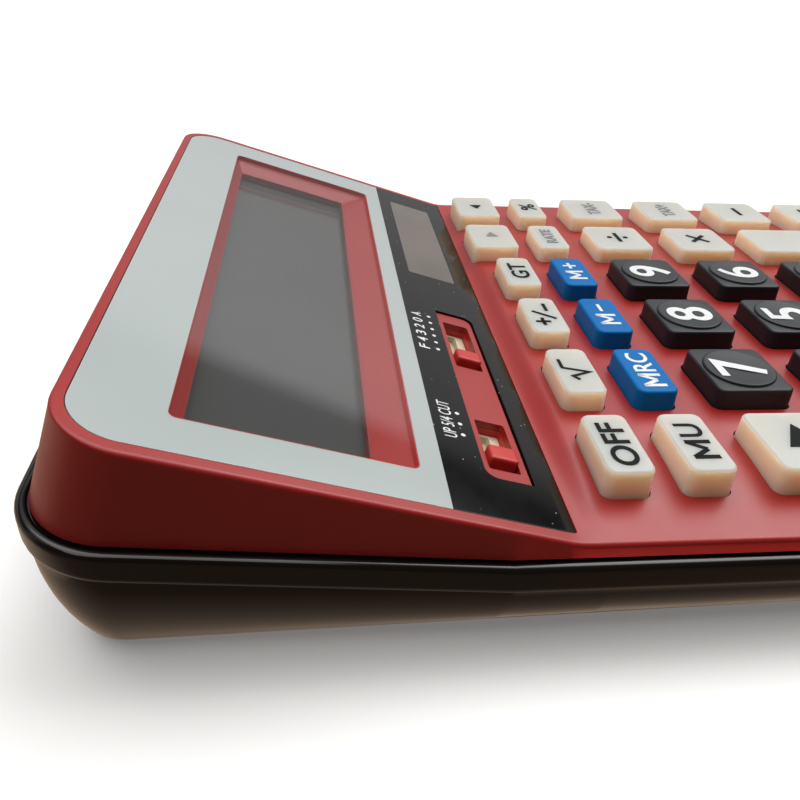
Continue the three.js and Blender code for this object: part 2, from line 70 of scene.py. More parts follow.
def surface_at(y):
    soft = 2.0
    if y <= CREASE - soft:
        return 0.0
    if y >= CREASE + soft:
        return (y - CREASE) * SLOPE
    return SLOPE * (y - CREASE + soft) ** 2 / (4 * soft)


def crown_at(inset, y):
    """The key deck swells gently from its edges and drops back to the crease below the display."""
    share = min(max((CREASE - 0.3 - y) / 4.0, 0.0), 1.0)
    share = share * share * (3 - 2 * share)
    knots = ((1.1, 0.0), (9.0, 0.5), (18.0, 1.15), (28.0, 1.65))
    if inset >= knots[-1][0]:
        return knots[-1][1] * share
    for (i0, r0), (i1, r1) in zip(knots, knots[1:]):
        if inset < i1:
            return share * (r0 + (r1 - r0) * max(inset - i0, 0.0) / (i1 - i0))
    return 0.0


def rim_at(y):
    return RIM_FRONT + max(0.0, y - RIM_BREAK) * RIM_SLOPE


def base_at(y):
    return -BASE_DEPTH - y * BASE_SLOPE


# ---------------------------------------------------------------- materials
def new_material(name):
    mat = bpy.data.materials.new(name)
    mat.use_nodes = True
    nodes = mat.node_tree.nodes
    shader = nodes["Principled BSDF"]
    return mat, mat.node_tree, nodes, shader


def add_noise(tree, coords, scale, detail=3.0, rough=0.55):
    noise = tree.nodes.new("ShaderNodeTexNoise")
    noise.inputs["Scale"].default_value = scale
    noise.inputs["Detail"].default_value = detail
    noise.inputs["Roughness"].default_value = rough
    tree.links.new(coords, noise.inputs["Vector"])
    return noise.outputs["Fac"]


def map_range(tree, value, lo, hi, out_lo, out_hi):
    node = tree.nodes.new("ShaderNodeMapRange")
    node.inputs["From Min"].default_value = lo
    node.inputs["From Max"].default_value = hi
    node.inputs["To Min"].default_value = out_lo
    node.inputs["To Max"].default_value = out_hi
    tree.links.new(value, node.inputs["Value"])
    return node.outputs["Result"]


def mix_colours(tree, fac, a, b):
    node = tree.nodes.new("ShaderNodeMix")
    node.data_type = "RGBA"
    for socket, value in ((6, a), (7, b)):
        if isinstance(value, tuple):
            node.inputs[socket].default_value = (*value, 1.0)
        else:
            tree.links.new(value, node.inputs[socket])
    tree.links.new(fac, node.inputs[0])
    return node.outputs[2]


GRAIN_SCALE, GRAIN_DEPTH = 2600.0, 0.00004
GLOW_RADIUS, GLOW_SCALE = (1.0, 0.72, 0.5), 0.007


def plastic(name, light, dark, rough, rough_var=0.05, grain=0.0, blotch=45.0, ior=1.5, metallic=0.0, glow=0.0,
            painted_side_glow=None):
    """Moulded plastic: broad tone drift, a fine grain in the bump and slightly uneven gloss.

    The optional side tone is painted on upright faces: a warmer painted glow that stands in for the light a
    translucent plastic carries down its sides.
    """
    mat, tree, nodes, shader = new_material(name)
    coords = nodes.new("ShaderNodeTexCoord").outputs["Object"]
    drift = map_range(tree, add_noise(tree, coords, blotch), 0.3, 0.7, 0.0, 1.0)
    tone = mix_colours(tree, drift, light, dark)
    # Upright faces take the warmer side tone: painted light from the glow through the plastic, not a colour
    # of the plastic itself.
    if painted_side_glow:
        facing = nodes.new("ShaderNodeSeparateXYZ")
        tree.links.new(nodes.new("ShaderNodeNewGeometry").outputs["Normal"], facing.inputs[0])
        tone = mix_colours(tree, map_range(tree, facing.outputs["Z"], 0.25, 0.85, 0.0, 1.0), painted_side_glow, tone)
    tree.links.new(tone, shader.inputs["Base Color"])
    smudge = add_noise(tree, coords, blotch * 2.3, 5.0, 0.6)
    tree.links.new(map_range(tree, smudge, 0.3, 0.7, rough - rough_var, rough + rough_var),
                   shader.inputs["Roughness"])
    shader.inputs["IOR"].default_value = ior
    shader.inputs["Metallic"].default_value = metallic
    if glow:
        shader.inputs["Subsurface Weight"].default_value = glow
        shader.inputs["Subsurface Radius"].default_value = GLOW_RADIUS
        shader.inputs["Subsurface Scale"].default_value = GLOW_SCALE
    if grain:
        bump = nodes.new("ShaderNodeBump")
        bump.inputs["Strength"].default_value = grain
        bump.inputs["Distance"].default_value = GRAIN_DEPTH
        tree.links.new(add_noise(tree, coords, GRAIN_SCALE, 2.0), bump.inputs["Height"])
        tree.links.new(bump.outputs["Normal"], shader.inputs["Normal"])
    return mat


def speck_material(name, light, dark, speck, rough, density, scale, ior):
    """Glossy print with scattered dust specks."""
    mat, tree, nodes, shader = new_material(name)
    coords = nodes.new("ShaderNodeTexCoord").outputs["Object"]
    drift = map_range(tree, add_noise(tree, coords, 60.0), 0.3, 0.7, 0.0, 1.0)
    base = mix_colours(tree, drift, light, dark)
    cells = nodes.new("ShaderNodeTexVoronoi")
    cells.inputs["Scale"].default_value = scale
    tree.links.new(coords, cells.inputs["Vector"])
    near = map_range(tree, cells.outputs["Distance"], 0.05, 0.24, 1.0, 0.0)
    pick = nodes.new("ShaderNodeSeparateColor")
    tree.links.new(cells.outputs["Color"], pick.inputs["Color"])
    chosen = nodes.new("ShaderNodeMath")
    chosen.operation = "LESS_THAN"
    chosen.inputs[1].default_value = density
    tree.links.new(pick.outputs[0], chosen.inputs[0])
    mask = nodes.new("ShaderNodeMath")
    mask.operation = "MULTIPLY"
    mask.use_clamp = True
    tree.links.new(near, mask.inputs[0])
    tree.links.new(chosen.outputs[0], mask.inputs[1])
    tree.links.new(mix_colours(tree, mask.outputs[0], base, speck), shader.inputs["Base Color"])
    shader.inputs["IOR"].default_value = ior
    smudge = add_noise(tree, coords, 150.0, 5.0, 0.6)
    tree.links.new(map_range(tree, smudge, 0.3, 0.7, rough, rough + 0.05), shader.inputs["Roughness"])
    return mat


RED = plastic("red_plastic", (0.325, 0.015, 0.013), (0.295, 0.013, 0.011), 0.36, 0.05, grain=0.25)
# A brighter copy of the red housing plastic: painted light for the sunken window frame and slot walls, which
# get little light. The knob caps use it too.
RED_PAINTED_BRIGHT = plastic("red_painted_bright", (0.50, 0.022, 0.018), (0.46, 0.020, 0.016), 0.40, 0.05, grain=0.2)
BLACK = plastic("black_plastic", (0.0065, 0.0050, 0.0048), (0.0050, 0.0040, 0.0038), 0.13, 0.03, grain=0.06)
PANEL_PALE = plastic("panel_pale", (0.405, 0.448, 0.443), (0.39, 0.433, 0.431), 0.10, 0.02, ior=1.42)
PANEL_BLACK = speck_material("panel_black", (0.003, 0.003, 0.0035), (0.005, 0.005, 0.005),
                             (0.45, 0.48, 0.50), 0.08, 0.03, 1500.0, 1.30)
LCD_GREY = plastic("lcd_grey", (0.088, 0.097, 0.096), (0.079, 0.087, 0.087), 0.10, 0.03, blotch=25.0)
SOLAR_TINT = plastic("solar_tint", (0.150, 0.125, 0.108), (0.115, 0.096, 0.084), 0.10, 0.03)
# White keys: their sides are painted a warmer tan by normal direction, painted light standing in for light
# glowing through the plastic.
KEY_WHITE = plastic("key_white", (0.50, 0.505, 0.465), (0.475, 0.48, 0.442), 0.38, 0.05, grain=0.15, glow=1.0,
                    painted_side_glow=(0.92, 0.76, 0.62))
KEY_BLUE = plastic("key_blue", (0.0002, 0.140, 0.42), (0.0002, 0.122, 0.38), 0.42, 0.05, grain=0.15,
                   ior=1.2)
KEY_DARK = plastic("key_dark", (0.018, 0.021, 0.024), (0.014, 0.017, 0.020), 0.36, 0.05, grain=0.15,
                   ior=1.33)
INK_BLACK = plastic("ink_black", (0.008, 0.009, 0.010), (0.013, 0.013, 0.015), 0.60, 0.05, blotch=400.0,
                    ior=1.15)
INK_WHITE = plastic("ink_white", (0.74, 0.76, 0.76), (0.66, 0.68, 0.69), 0.42, 0.05, blotch=400.0)
INK_GREY = plastic("ink_grey", (0.20, 0.21, 0.20), (0.16, 0.17, 0.165), 0.50, 0.05, blotch=400.0)
BEIGE = plastic("beige_plastic", (0.62, 0.57, 0.42), (0.55, 0.50, 0.36), 0.5, 0.05, grain=0.2)
BOARD = plastic("board", (0.014, 0.130, 0.042), (0.010, 0.095, 0.030), 0.4, 0.05, grain=0.2)
GREY_RUBBER = plastic("grey_rubber", (0.33, 0.34, 0.35), (0.28, 0.29, 0.30), 0.75, 0.05, grain=0.4)
BLACK_RUBBER = plastic("black_rubber", (0.012, 0.012, 0.012), (0.018, 0.018, 0.017), 0.85, 0.05, grain=0.5)
EPOXY = plastic("epoxy", (0.004, 0.004, 0.005), (0.008, 0.008, 0.008), 0.25, 0.08)
STEEL = plastic("steel", (0.52, 0.52, 0.54), (0.42, 0.42, 0.44), 0.28, 0.06, metallic=1.0, blotch=300.0)
SILICON = plastic("silicon", (0.020, 0.014, 0.020), (0.012, 0.010, 0.016), 0.2, 0.04)


def clear_sheet(name, colour, rough, ior, alpha):
    """Clear moulded sheet: smudged gloss, with what lies behind it showing through."""
    mat, tree, nodes, shader = new_material(name)
    coords = nodes.new("ShaderNodeTexCoord").outputs["Object"]
    smudge = add_noise(tree, coords, 90.0, 5.0, 0.6)
    tree.links.new(map_range(tree, smudge, 0.3, 0.7, rough * 0.7, rough * 1.5), shader.inputs["Roughness"])
    haze = add_noise(tree, coords, 40.0)
    darker = tuple(0.8 * c for c in colour)
    tree.links.new(mix_colours(tree, haze, colour, darker), shader.inputs["Base Color"])
    shader.inputs["IOR"].default_value = ior
    shader.inputs["Alpha"].default_value = alpha
    return mat


CLEAR = clear_sheet("clear_plastic", (0.10, 0.09, 0.085), 0.035, 5.0, 0.16)


# ---------------------------------------------------------------- mesh building
SHARP_ANGLE = math.radians(35.0)


def make_piece(name, verts, faces, materials, body="case", replaces=(), face_mats=None,
               matrix=None):
    """Points are millimetres on the key deck (matrix places other frames on the deck first)."""
    place = TO_ROW @ matrix if matrix is not None else TO_ROW
    mesh = bpy.data.meshes.new(name)
    mesh.from_pydata([place @ Vector(v) for v in verts], [], faces)
    for material in materials:
        mesh.materials.append(material)
    if face_mats:
        for poly, index in zip(mesh.polygons, face_mats):
            poly.material_index = index
    tidy_mesh(mesh)
    piece = bpy.data.objects.new(name, mesh)
    bpy.context.scene.collection.objects.link(piece)
    if body:
        finish_piece(piece, body, replaces)
    return piece


def tidy_mesh(mesh):
    bm = bmesh.new()
    bm.from_mesh(mesh)
    bmesh.ops.remove_doubles(bm, verts=bm.verts, dist=1e-7)
    bmesh.ops.recalc_face_normals(bm, faces=bm.faces)
    bm.to_mesh(mesh)
    bm.free()
    for poly in mesh.polygons:
        poly.use_smooth = True
    mesh.set_sharp_from_angle(angle=SHARP_ANGLE)


def finish_piece(piece, body, replaces):
    if replaces:
        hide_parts(*replaces)
    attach(piece, body)


def arc(cx, cy, radius, start, steps):
    return [(cx + radius * math.cos(start + math.pi / 2 * i / steps),
             cy + radius * math.sin(start + math.pi / 2 * i / steps)) for i in range(steps + 1)]


def stack(rings, cap="fan", close=True):
    """Side faces between equal rings, with a cap on the first and the last."""
    n = len(rings[0])
    verts = [p for ring in rings for p in ring]
    faces = []
    for r in range(len(rings) - 1):
        for i in range(n):
            a, b = r * n + i, r * n + (i + 1) % n
            faces.append((a, b, b + n, a + n))
    last = (len(rings) - 1) * n
    if cap == "ladder":
        for i in range(n // 2 - 1):
            quad = (i, i + 1, n - 2 - i, n - 1 - i)
            faces.append(tuple(reversed(quad)))
            faces.append(tuple(last + k for k in quad))
    elif close:
        faces.append(tuple(reversed(range(n))))
        faces.append(tuple(last + i for i in range(n)))
    return verts, faces


CASE_BREAKS = [CREASE + step for step in (-5, -4.3, -3.7, -3, -2, -1, 0, 1, 2)]
CASE_BREAKS += [RIM_BREAK - 1, RIM_BREAK, RIM_BREAK + 1, 80.0]
CORNER_STEPS = 14


def case_outline(half, front, back, front_r, back_r, inset):
    """Right half of an outline, from the middle of the front to the middle of the back."""
    w, y0, y1 = half - inset, front + inset, back - inset
    rf, rb = max(front_r - inset, 0.8), max(back_r - inset, 0.8)
    return (arc(w - rf, y0 + rf, rf, -math.pi / 2, CORNER_STEPS)
            + [(w, y) for y in CASE_BREAKS]
            + arc(w - rb, y1 - rb, rb, 0, CORNER_STEPS))


def case_ring(outline, height):
    right = [(x, y, height(y)) for x, y in outline]
    return right + [(-x, y, z) for x, y, z in reversed(right)]


TOP_FOOT = (HALF + SIDE_LEAN, DECK_FRONT - SIDE_LEAN, DECK_BACK + BACK_LEAN, 7.9, 12.0)
TOP_RIM = (HALF, DECK_FRONT, DECK_BACK, 7.0, 10.0)
FLANGE = (HALF + SIDE_LEAN + FLANGE_OUT, DECK_FRONT - SIDE_LEAN - FLANGE_OUT,
          DECK_BACK + BACK_LEAN + FLANGE_OUT, 9.9, 14.0)


def rounded_rect(x0, x1, y0, y1, radii, steps=8):
    """Counter-clockwise outline; radii are for near-left, near-right, far-right and far-left corners."""
    spots = [(x0, y0, 1, 1, math.pi), (x1, y0, -1, 1, -math.pi / 2), (x1, y1, -1, -1, 0.0),
             (x0, y1, 1, -1, math.pi / 2)]
    points = []
    for (x, y, sx, sy, start), r in zip(spots, radii):
        points += arc(x + sx * r, y + sy * r, r, start, steps) if r > 0.01 else [(x, y)]
    return points


def at_height(points, z):
    return [(x, y, z) for x, y in points]


def prism(points, z0, z1):
    return stack([at_height(points, z0), at_height(points, z1)])


def placed(part, matrix):
    verts, faces = part
    return [tuple(matrix @ Vector(v)) for v in verts], faces


def grown(box, by):
    """A box (x0, x1, y0, y1) made larger by the same amount on every side."""
    x0, x1, y0, y1 = box
    return x0 - by, x1 + by, y0 - by, y1 + by


def display_block(x0, x1, y0, y1, radii, z0, z1):
    """Rounded block measured from the display face."""
    return placed(prism(rounded_rect(x0, x1, y0, y1, radii), z0, z1), ON_DISPLAY)


def joined(parts):
    verts, faces = [], []
    for v, f in parts:
        base = len(verts)
        verts += v
        faces += [tuple(base + i for i in face) for face in f]
    return verts, faces


def cut_with(piece, parts, bevel=0.0):
    """Subtracts closed parts (deck millimetres) from a piece and rounds the new edges."""
    cutters = []
    for number, (verts, faces) in enumerate(parts):
        cutter = make_piece(f"cutter_{number}", verts, faces, [], body=None)
        cutters.append(cutter)
        boolean = piece.modifiers.new(f"cut_{number}", "BOOLEAN")
        boolean.operation = "DIFFERENCE"
        boolean.solver = "EXACT"
        boolean.object = cutter
    if bevel:
        edge = piece.modifiers.new("edge", "BEVEL")
        edge.width = bevel / 1000
        edge.segments = 2
        edge.limit_method = "ANGLE"
        edge.angle_limit = math.radians(40)
        edge.use_clamp_overlap = True
    bake_modifiers(piece)
    for poly in piece.data.polygons:
        poly.use_smooth = True
    piece.data.set_sharp_from_angle(angle=SHARP_ANGLE)
    even_normals(piece)
    for cutter in cutters:
        bpy.data.objects.remove(cutter)


def even_normals(piece):
    """Keeps wide flat faces flat where they meet narrow rounded edges."""
    even = piece.modifiers.new("even", "WEIGHTED_NORMAL")
    even.weight = 100
    even.keep_sharp = True


def bake_modifiers(piece):
    depsgraph = bpy.context.evaluated_depsgraph_get()
    mesh = bpy.data.meshes.new_from_object(piece.evaluated_get(depsgraph))
    piece.modifiers.clear()
    old = piece.data
    piece.data = mesh
    bpy.data.meshes.remove(old)
    mesh.name = piece.name


# ---------------------------------------------------------------- printed legends
def glyphs(text, width, height, weight):
    """Flat outline of a text in the built-in font, scaled to width by height and centred on the origin."""
    curve = bpy.data.curves.new("legend", "FONT")
    curve.body = text
    curve.size = 1.0
    curve.offset = weight
    curve.resolution_u = 6
    holder = bpy.data.objects.new("legend", curve)
    bpy.context.scene.collection.objects.link(holder)
    depsgraph = bpy.context.evaluated_depsgraph_get()
    mesh = bpy.data.meshes.new_from_object(holder.evaluated_get(depsgraph))
    verts = [v.co.copy() for v in mesh.vertices]
    faces = [tuple(p.vertices) for p in mesh.polygons]
    bpy.data.objects.remove(holder)
    bpy.data.curves.remove(curve)
    bpy.data.meshes.remove(mesh)
    lo = [min(v[k] for v in verts) for k in (0, 1)]
    hi = [max(v[k] for v in verts) for k in (0, 1)]
    sx, sy = width / (hi[0] - lo[0]), height / (hi[1] - lo[1])
    return [((v.x - (lo[0] + hi[0]) / 2) * sx, (v.y - (lo[1] + hi[1]) / 2) * sy) for v in verts], faces


def stroke(points, width):
    """A flat polyline of even width with mitred joints."""
    left, right = [], []
    for i, p in enumerate(points):
        before = Vector(points[max(i - 1, 0)])
        after = Vector(points[min(i + 1, len(points) - 1)])
        here = Vector(p)
        d0 = (here - before).normalized() if i else (after - here).normalized()
        d1 = (after - here).normalized() if i + 1 < len(points) else d0
        normal = Vector((-(d0 + d1).y, (d0 + d1).x)).normalized()
        reach = width / 2 / max(normal.dot(Vector((-d1.y, d1.x))), 0.4)
        left.append(here + normal * reach)
        right.append(here - normal * reach)
    verts = [tuple(v) for v in left] + [tuple(v) for v in right]
    n = len(points)
    return verts, [(i, n + i, n + i + 1, i + 1) for i in range(n - 1)]


def disc_outline(x, y, radius, count=20):
    points = [(x + radius * math.cos(math.tau * i / count), y + radius * math.sin(math.tau * i / count))
              for i in range(count)]
    return points, [tuple(range(count))]


def flat_join(parts):
    verts, faces = joined([([(x, y, 0) for x, y in v], f) for v, f in parts])
    return [(x, y) for x, y, _ in verts], faces


def shifted(part, dx, dy):
    verts, faces = part
    return [(x + dx, y + dy) for x, y in verts], faces


def ink(part, height_at, thick=0.05):
    """Raises a flat outline into a thin closed layer that follows height_at(x, y)."""
    verts, faces = part
    bm = bmesh.new()
    vs = [bm.verts.new((x, y, 0)) for x, y in verts]
    for face in faces:
        try:
            bm.faces.new([vs[i] for i in face])
        except ValueError:
            continue
    bmesh.ops.remove_doubles(bm, verts=bm.verts, dist=1e-5)
    grown = bmesh.ops.extrude_face_region(bm, geom=bm.faces[:], use_keep_orig=True)
    top = {v for v in grown["geom"] if isinstance(v, bmesh.types.BMVert)}
    for v in bm.verts:
        v.co.z = height_at(v.co.x, v.co.y) + (thick if v in top else -thick)
    bmesh.ops.recalc_face_normals(bm, faces=bm.faces)
    bm.verts.index_update()
    out = ([tuple(v.co) for v in bm.verts], [tuple(v.index for v in f.verts) for f in bm.faces])
    bm.free()
    return out


# ---------------------------------------------------------------- top housing
WINDOW = (-63.7, 61.5, 23.5, 59.8)
LCD_VIEW = (-59.5, 56.5, 30.0, 57.6)
SOLAR = (12.4, 61.8, 4.7, 16.3)
LAND = (-61.6, -5.4, 4.2, 12.4)
SLOTS = {"rounding": (-58.8, -45.4, -55.4), "decimal": (-27.4, -9.4, -24.0)}
SLOT_Y = (5.7, 11.2)
PANEL_HALF, PANEL_LENGTH, PANEL_THICK, PANEL_CORNER = 71.2, 72.6, 1.5, 8.2
WINDOW_CORNER = 1.3
RECESS, SHELL = 3.0, 4.4
SWITCH_FACE = -3.1

KEY_PITCH, KEY_W = 22.5, 16.0
ROW_Y = (32.0, 18.7, 0.0, -22.3, -44.6, -66.9)
SHORT, MIDDLE, LONG = 8.0, 11.6, 15.0
TALL = LONG + ROW_Y[4] - ROW_Y[5]
KEY_TOP, KEY_BOTTOM = 5.5, -2.3
KEY_EDGE, KEY_CORNER, KEY_DRAFT = 0.5, 1.65, 0.13
KEY_HOLE_GAP, KEY_HOLE_CORNER = 0.2, 1.85


def column_x(column):
    return (column - 2.5) * KEY_PITCH


KEYS = {}
for name, column, row in (
        ("off", 0, 0), ("square_root", 1, 0), ("plus_minus", 2, 0), ("grand_total", 3, 0),
        ("mark_up", 0, 1), ("percent", 5, 1), ("tax", 4, 1), ("backspace", 0, 2), ("divide", 4, 2),
        ("tax_minus", 5, 2), ("exchange", 0, 3), ("multiply", 4, 3), ("tax_plus", 5, 3),
        ("clear_entry", 0, 4), ("minus", 5, 4), ("all_clear", 0, 5), ("equals", 5, 5)):
    KEYS[name] = (column_x(column), ROW_Y[row], SHORT if row < 2 else LONG, "white")
for name, column in (("memory_recall", 1), ("memory_minus", 2), ("memory_plus", 3)):
    KEYS[name] = (column_x(column), ROW_Y[1], SHORT, "blue")
for row, names in ((2, "789"), (3, "456"), (4, "123"), (5, ("0", "00", "point"))):
    for column, name in enumerate(names, 1):
        KEYS[name] = (column_x(column), ROW_Y[row], LONG, "dark")
for column, name in ((4, "check"), (5, "correct")):
    KEYS[name] = (column_x(column), ROW_Y[0] + (MIDDLE - SHORT) / 2, MIDDLE, "white")
KEYS["plus"] = (column_x(4), (ROW_Y[4] + ROW_Y[5]) / 2, TALL, "white")


def key_hole(x, y, depth):
    w, d = KEY_W / 2 + KEY_HOLE_GAP, depth / 2 + KEY_HOLE_GAP
    return prism(rounded_rect(x - w, x + w, y - d, y + d, (KEY_HOLE_CORNER,) * 4, 7), -6.0, 5.0)


def ceiling_at(y):
    blend = min(max((y - (CREASE - 4)) / 5, 0.0), 1.0)
    return surface_at(y) - (2.0 + (SHELL / math.cos(DISPLAY_ANGLE) - 2.0) * blend)


def build_top_housing():
    fillet = 0.75
    rings = [case_ring(case_outline(*TOP_FOOT, 0.0), lambda y: rim_at(y) + 0.12)]
    for i in range(7):
        angle = math.pi / 2 * i / 6
        inset = fillet * (1 - math.cos(angle))
        drop = fillet * (1 - math.sin(angle))
        rings.append(case_ring(case_outline(*TOP_RIM, inset), lambda y, d=drop: surface_at(y) - d))
    for inset in (5.0, 9.0, 13.5, 18.0, 23.0, 28.0):
        rings.append(case_ring(case_outline(*TOP_RIM, inset),
                               lambda y, i=inset: surface_at(y) + crown_at(i, y)))
    verts, faces = stack(rings, cap="ladder")
    piece = make_piece("top_shell", verts, faces, [RED], body=None)
    hollow = stack([
        case_ring(case_outline(*TOP_FOOT, 2.0), lambda y: rim_at(y) - 3),
        case_ring(case_outline(*TOP_FOOT, 2.0), lambda y: rim_at(y) + 0.1),
        case_ring(case_outline(*TOP_RIM, 2.6), ceiling_at),
    ], cap="ladder")
    pocket = display_block(-PANEL_HALF - 0.12, PANEL_HALF + 0.12, 0.1, PANEL_LENGTH + 0.12,
                           (0.6, 0.6, PANEL_CORNER, PANEL_CORNER), -PANEL_THICK - 0.3, 4.0)
    recess = display_block(*grown(WINDOW, 0.4), (1.7,) * 4, -RECESS, 0.0)
    view = display_block(*LCD_VIEW, (0.6,) * 4, -9.0, 0.0)
    solar = display_block(*grown(SOLAR, -0.8), (0.6,) * 4, -9.0, 0.0)
    seat = display_block(*grown(SOLAR, 1.2), (1.0,) * 4, -RECESS, 0.0)
    holes = [key_hole(x, y, depth) for x, y, depth, _ in KEYS.values()]
    cut_with(piece, [hollow, pocket, recess, seat, joined([view, solar]), joined(holes)], bevel=0.28)
    return piece


def slot_outline(x0, x1, inset=0.0):
    return rounded_rect(x0 + inset, x1 - inset, SLOT_Y[0] + inset, SLOT_Y[1] - inset, (0.4,) * 4)


def build_switch_face(name, x0, x1):
    """Pale face of the slide switch at the bottom of its slot, with the groove its lever runs in."""
    verts, faces = placed(prism(slot_outline(x0, x1, 0.06), SWITCH_FACE - 1.6, SWITCH_FACE), ON_DISPLAY)
    piece = make_piece(f"{name}_switch_face", verts, faces, [BEIGE], body=None)
    middle = sum(SLOT_Y) / 2
    groove = display_block(x0 + 0.7, x1 - 0.7, middle - 0.9, middle + 0.9, (0.3,) * 4, SWITCH_FACE - 1.3, 2.0)
    cut_with(piece, [groove], bevel=0.12)
    finish_piece(piece, "case", ())


def build_slider_land():
    """Raised red land of the top housing inside the black strip, with its two slots."""
    verts, faces = display_block(*grown(LAND, -0.25), (0.15, 2.0, 0.15, 2.0), -1.75, -0.45)
    piece = make_piece("slider_land", verts, faces, [RED], body=None)
    slots = [display_block(x0, x1, *SLOT_Y, (0.4,) * 4, -8.0, 2.0) for x0, x1, _ in SLOTS.values()]
    cut_with(piece, [joined(slots)], bevel=0.2)
    return piece


def build_slot_sleeve(name, x0, x1):
    """Red wall that carries a slot down from the land to the switch face, in a red painted brighter than the
    housing's: painted light for a wall in shade.
    """
    rings = []
    for inset, z in ((-0.7, SWITCH_FACE - 1.5), (-0.7, -1.8), (0.0, -1.8), (0.0, SWITCH_FACE - 1.5)):
        rings.append(at_height(slot_outline(x0, x1, inset), z))
    rings.append(rings[0])
    verts, faces = placed(stack(rings, close=False), ON_DISPLAY)
    make_piece(f"{name}_slot_sleeve", verts, faces, [RED_PAINTED_BRIGHT])


top_shell = build_top_housing()
slot_cuts = [placed(prism(slot_outline(a, b, -0.8), -9.0, 2.0), ON_DISPLAY) for a, b, _ in SLOTS.values()]
cut_with(top_shell, [joined(slot_cuts)])
finish_piece(top_shell, "case", ["top_housing"])
slider_land = build_slider_land()
finish_piece(slider_land, "case", ())
for slot_name, (slot_x0, slot_x1, _) in SLOTS.items():
    build_slot_sleeve(slot_name, slot_x0, slot_x1)
    build_switch_face(slot_name, slot_x0, slot_x1)


# ---------------------------------------------------------------- bottom housing
COVER_SPOT, COVER_HOLE = (34.0, 88.0), 11.15
SCREW_X, SCREW_Y, SCREW_HOLE = 65.5, 106.0, 3.1


def build_tray():
    base, edge, lip = 4.65, 0.75, 1.15
    profile = [(6.2, 0.0, 0.0), (5.7, 0.08, 0.0), (5.25, 0.32, 0.0), (4.9, 0.75, 0.0), (base, 1.3, 0.0)]
    for share in (0.1, 0.2, 0.3, 0.4, 0.5, 0.6, 0.7, 0.8, 0.9):
        profile.append((edge + (base - edge) * (1 - share) ** 2.1, 1.3, share))
    profile += [(edge, -FLANGE_HEIGHT - 0.95, 1.0), (0.45, -FLANGE_HEIGHT - 0.55, 1.0),
                (0.12, -FLANGE_HEIGHT - 0.2, 1.0), (0.0, -FLANGE_HEIGHT + 0.5, 1.0)]
    for i in range(7):
        angle = math.pi / 2 * i / 6
        profile.append((lip * (1 - math.cos(angle)), -lip * (1 - math.sin(angle)), 1.0))
    profile += [(1.35, -0.05, 1.0), (1.55, -0.2, 1.0), (1.72, -0.45, 1.0)]
    rings = []
    for inset, lift, share in profile:
        def level(y, lift=lift, share=share):
            if share in (0.0, 1.0):
                return (rim_at(y) if share else base_at(y)) + lift
            low, high = base_at(y) + 1.3, rim_at(y) - FLANGE_HEIGHT - 0.95
            return low + (high - low) * share
        rings.append(case_ring(case_outline(*FLANGE, inset), level))
    verts, faces = stack(rings, cap="ladder")
    piece = make_piece("bottom_tray", verts, faces, [BLACK], body=None)
    hollow = stack([
        case_ring(case_outline(*FLANGE, 8.0), lambda y: base_at(y) + 2),
        case_ring(case_outline(*FLANGE, 4.2), lambda y: rim_at(y) - FLANGE_HEIGHT - 0.9),
        case_ring(case_outline(*FLANGE, 4.2), lambda y: rim_at(y) + 3),
    ], cap="ladder")
    cover = placed(prism(disc_outline(*COVER_SPOT, COVER_HOLE, 64)[0], -4.0, 2.1), ON_BASE)
    screws = [prism(disc_outline(x, SCREW_Y, SCREW_HOLE, 32)[0], -30.0, -13.0) for x in (-SCREW_X, SCREW_X)]
    cut_with(piece, [hollow, joined([cover] + screws)], bevel=0.25)
    return piece


tray = build_tray()
finish_piece(tray, "case", ["bottom_housing"])


# ---------------------------------------------------------------- display panel, window and cell
PRINT_EDGE = 19.7


def build_panel():
    """Printed sheet: black up to PRINT_EDGE, pale beyond it."""
    outline = rounded_rect(-PANEL_HALF, PANEL_HALF, 0.2, PANEL_LENGTH, (0.5, 0.5, PANEL_CORNER, PANEL_CORNER),
                           16)
    verts, faces = placed(prism(outline, -PANEL_THICK, 0.0), ON_DISPLAY)
    piece = make_piece("display_print", verts, faces, [PANEL_PALE, PANEL_BLACK], body=None)
    window = display_block(*WINDOW, (WINDOW_CORNER,) * 4, -4.0, 2.0)
    solar = display_block(*SOLAR, (0.6,) * 4, -4.0, 2.0)
    land = display_block(*LAND, (0.2, 2.2, 0.2, 2.2), -4.0, 2.0)
    cut_with(piece, [joined([window, solar, land])], bevel=0.12)
    place = TO_ROW @ ON_DISPLAY
    to_panel = place.inverted()
    bm = bmesh.new()
    bm.from_mesh(piece.data)
    bmesh.ops.bisect_plane(bm, geom=bm.verts[:] + bm.edges[:] + bm.faces[:],
                           plane_co=place @ Vector((0, PRINT_EDGE, 0)),
                           plane_no=(place.to_3x3() @ Vector((0, 1, 0))).normalized())
    for face in bm.faces:
        face.material_index = 1 if (to_panel @ face.calc_center_median()).y < PRINT_EDGE else 0
    bm.to_mesh(piece.data)
    bm.free()
    return piece


finish_piece(build_panel(), "case", ["display_panel"])


def window_pane(name, opening, radius, material, replaces, thick):
    verts, faces = display_block(*grown(opening, -0.05), (radius,) * 4, -thick, -0.02)
    return make_piece(name, verts, faces, [material], replaces=replaces)


window_pane("window_pane", WINDOW, WINDOW_CORNER, CLEAR, ["display_window"], 1.0)


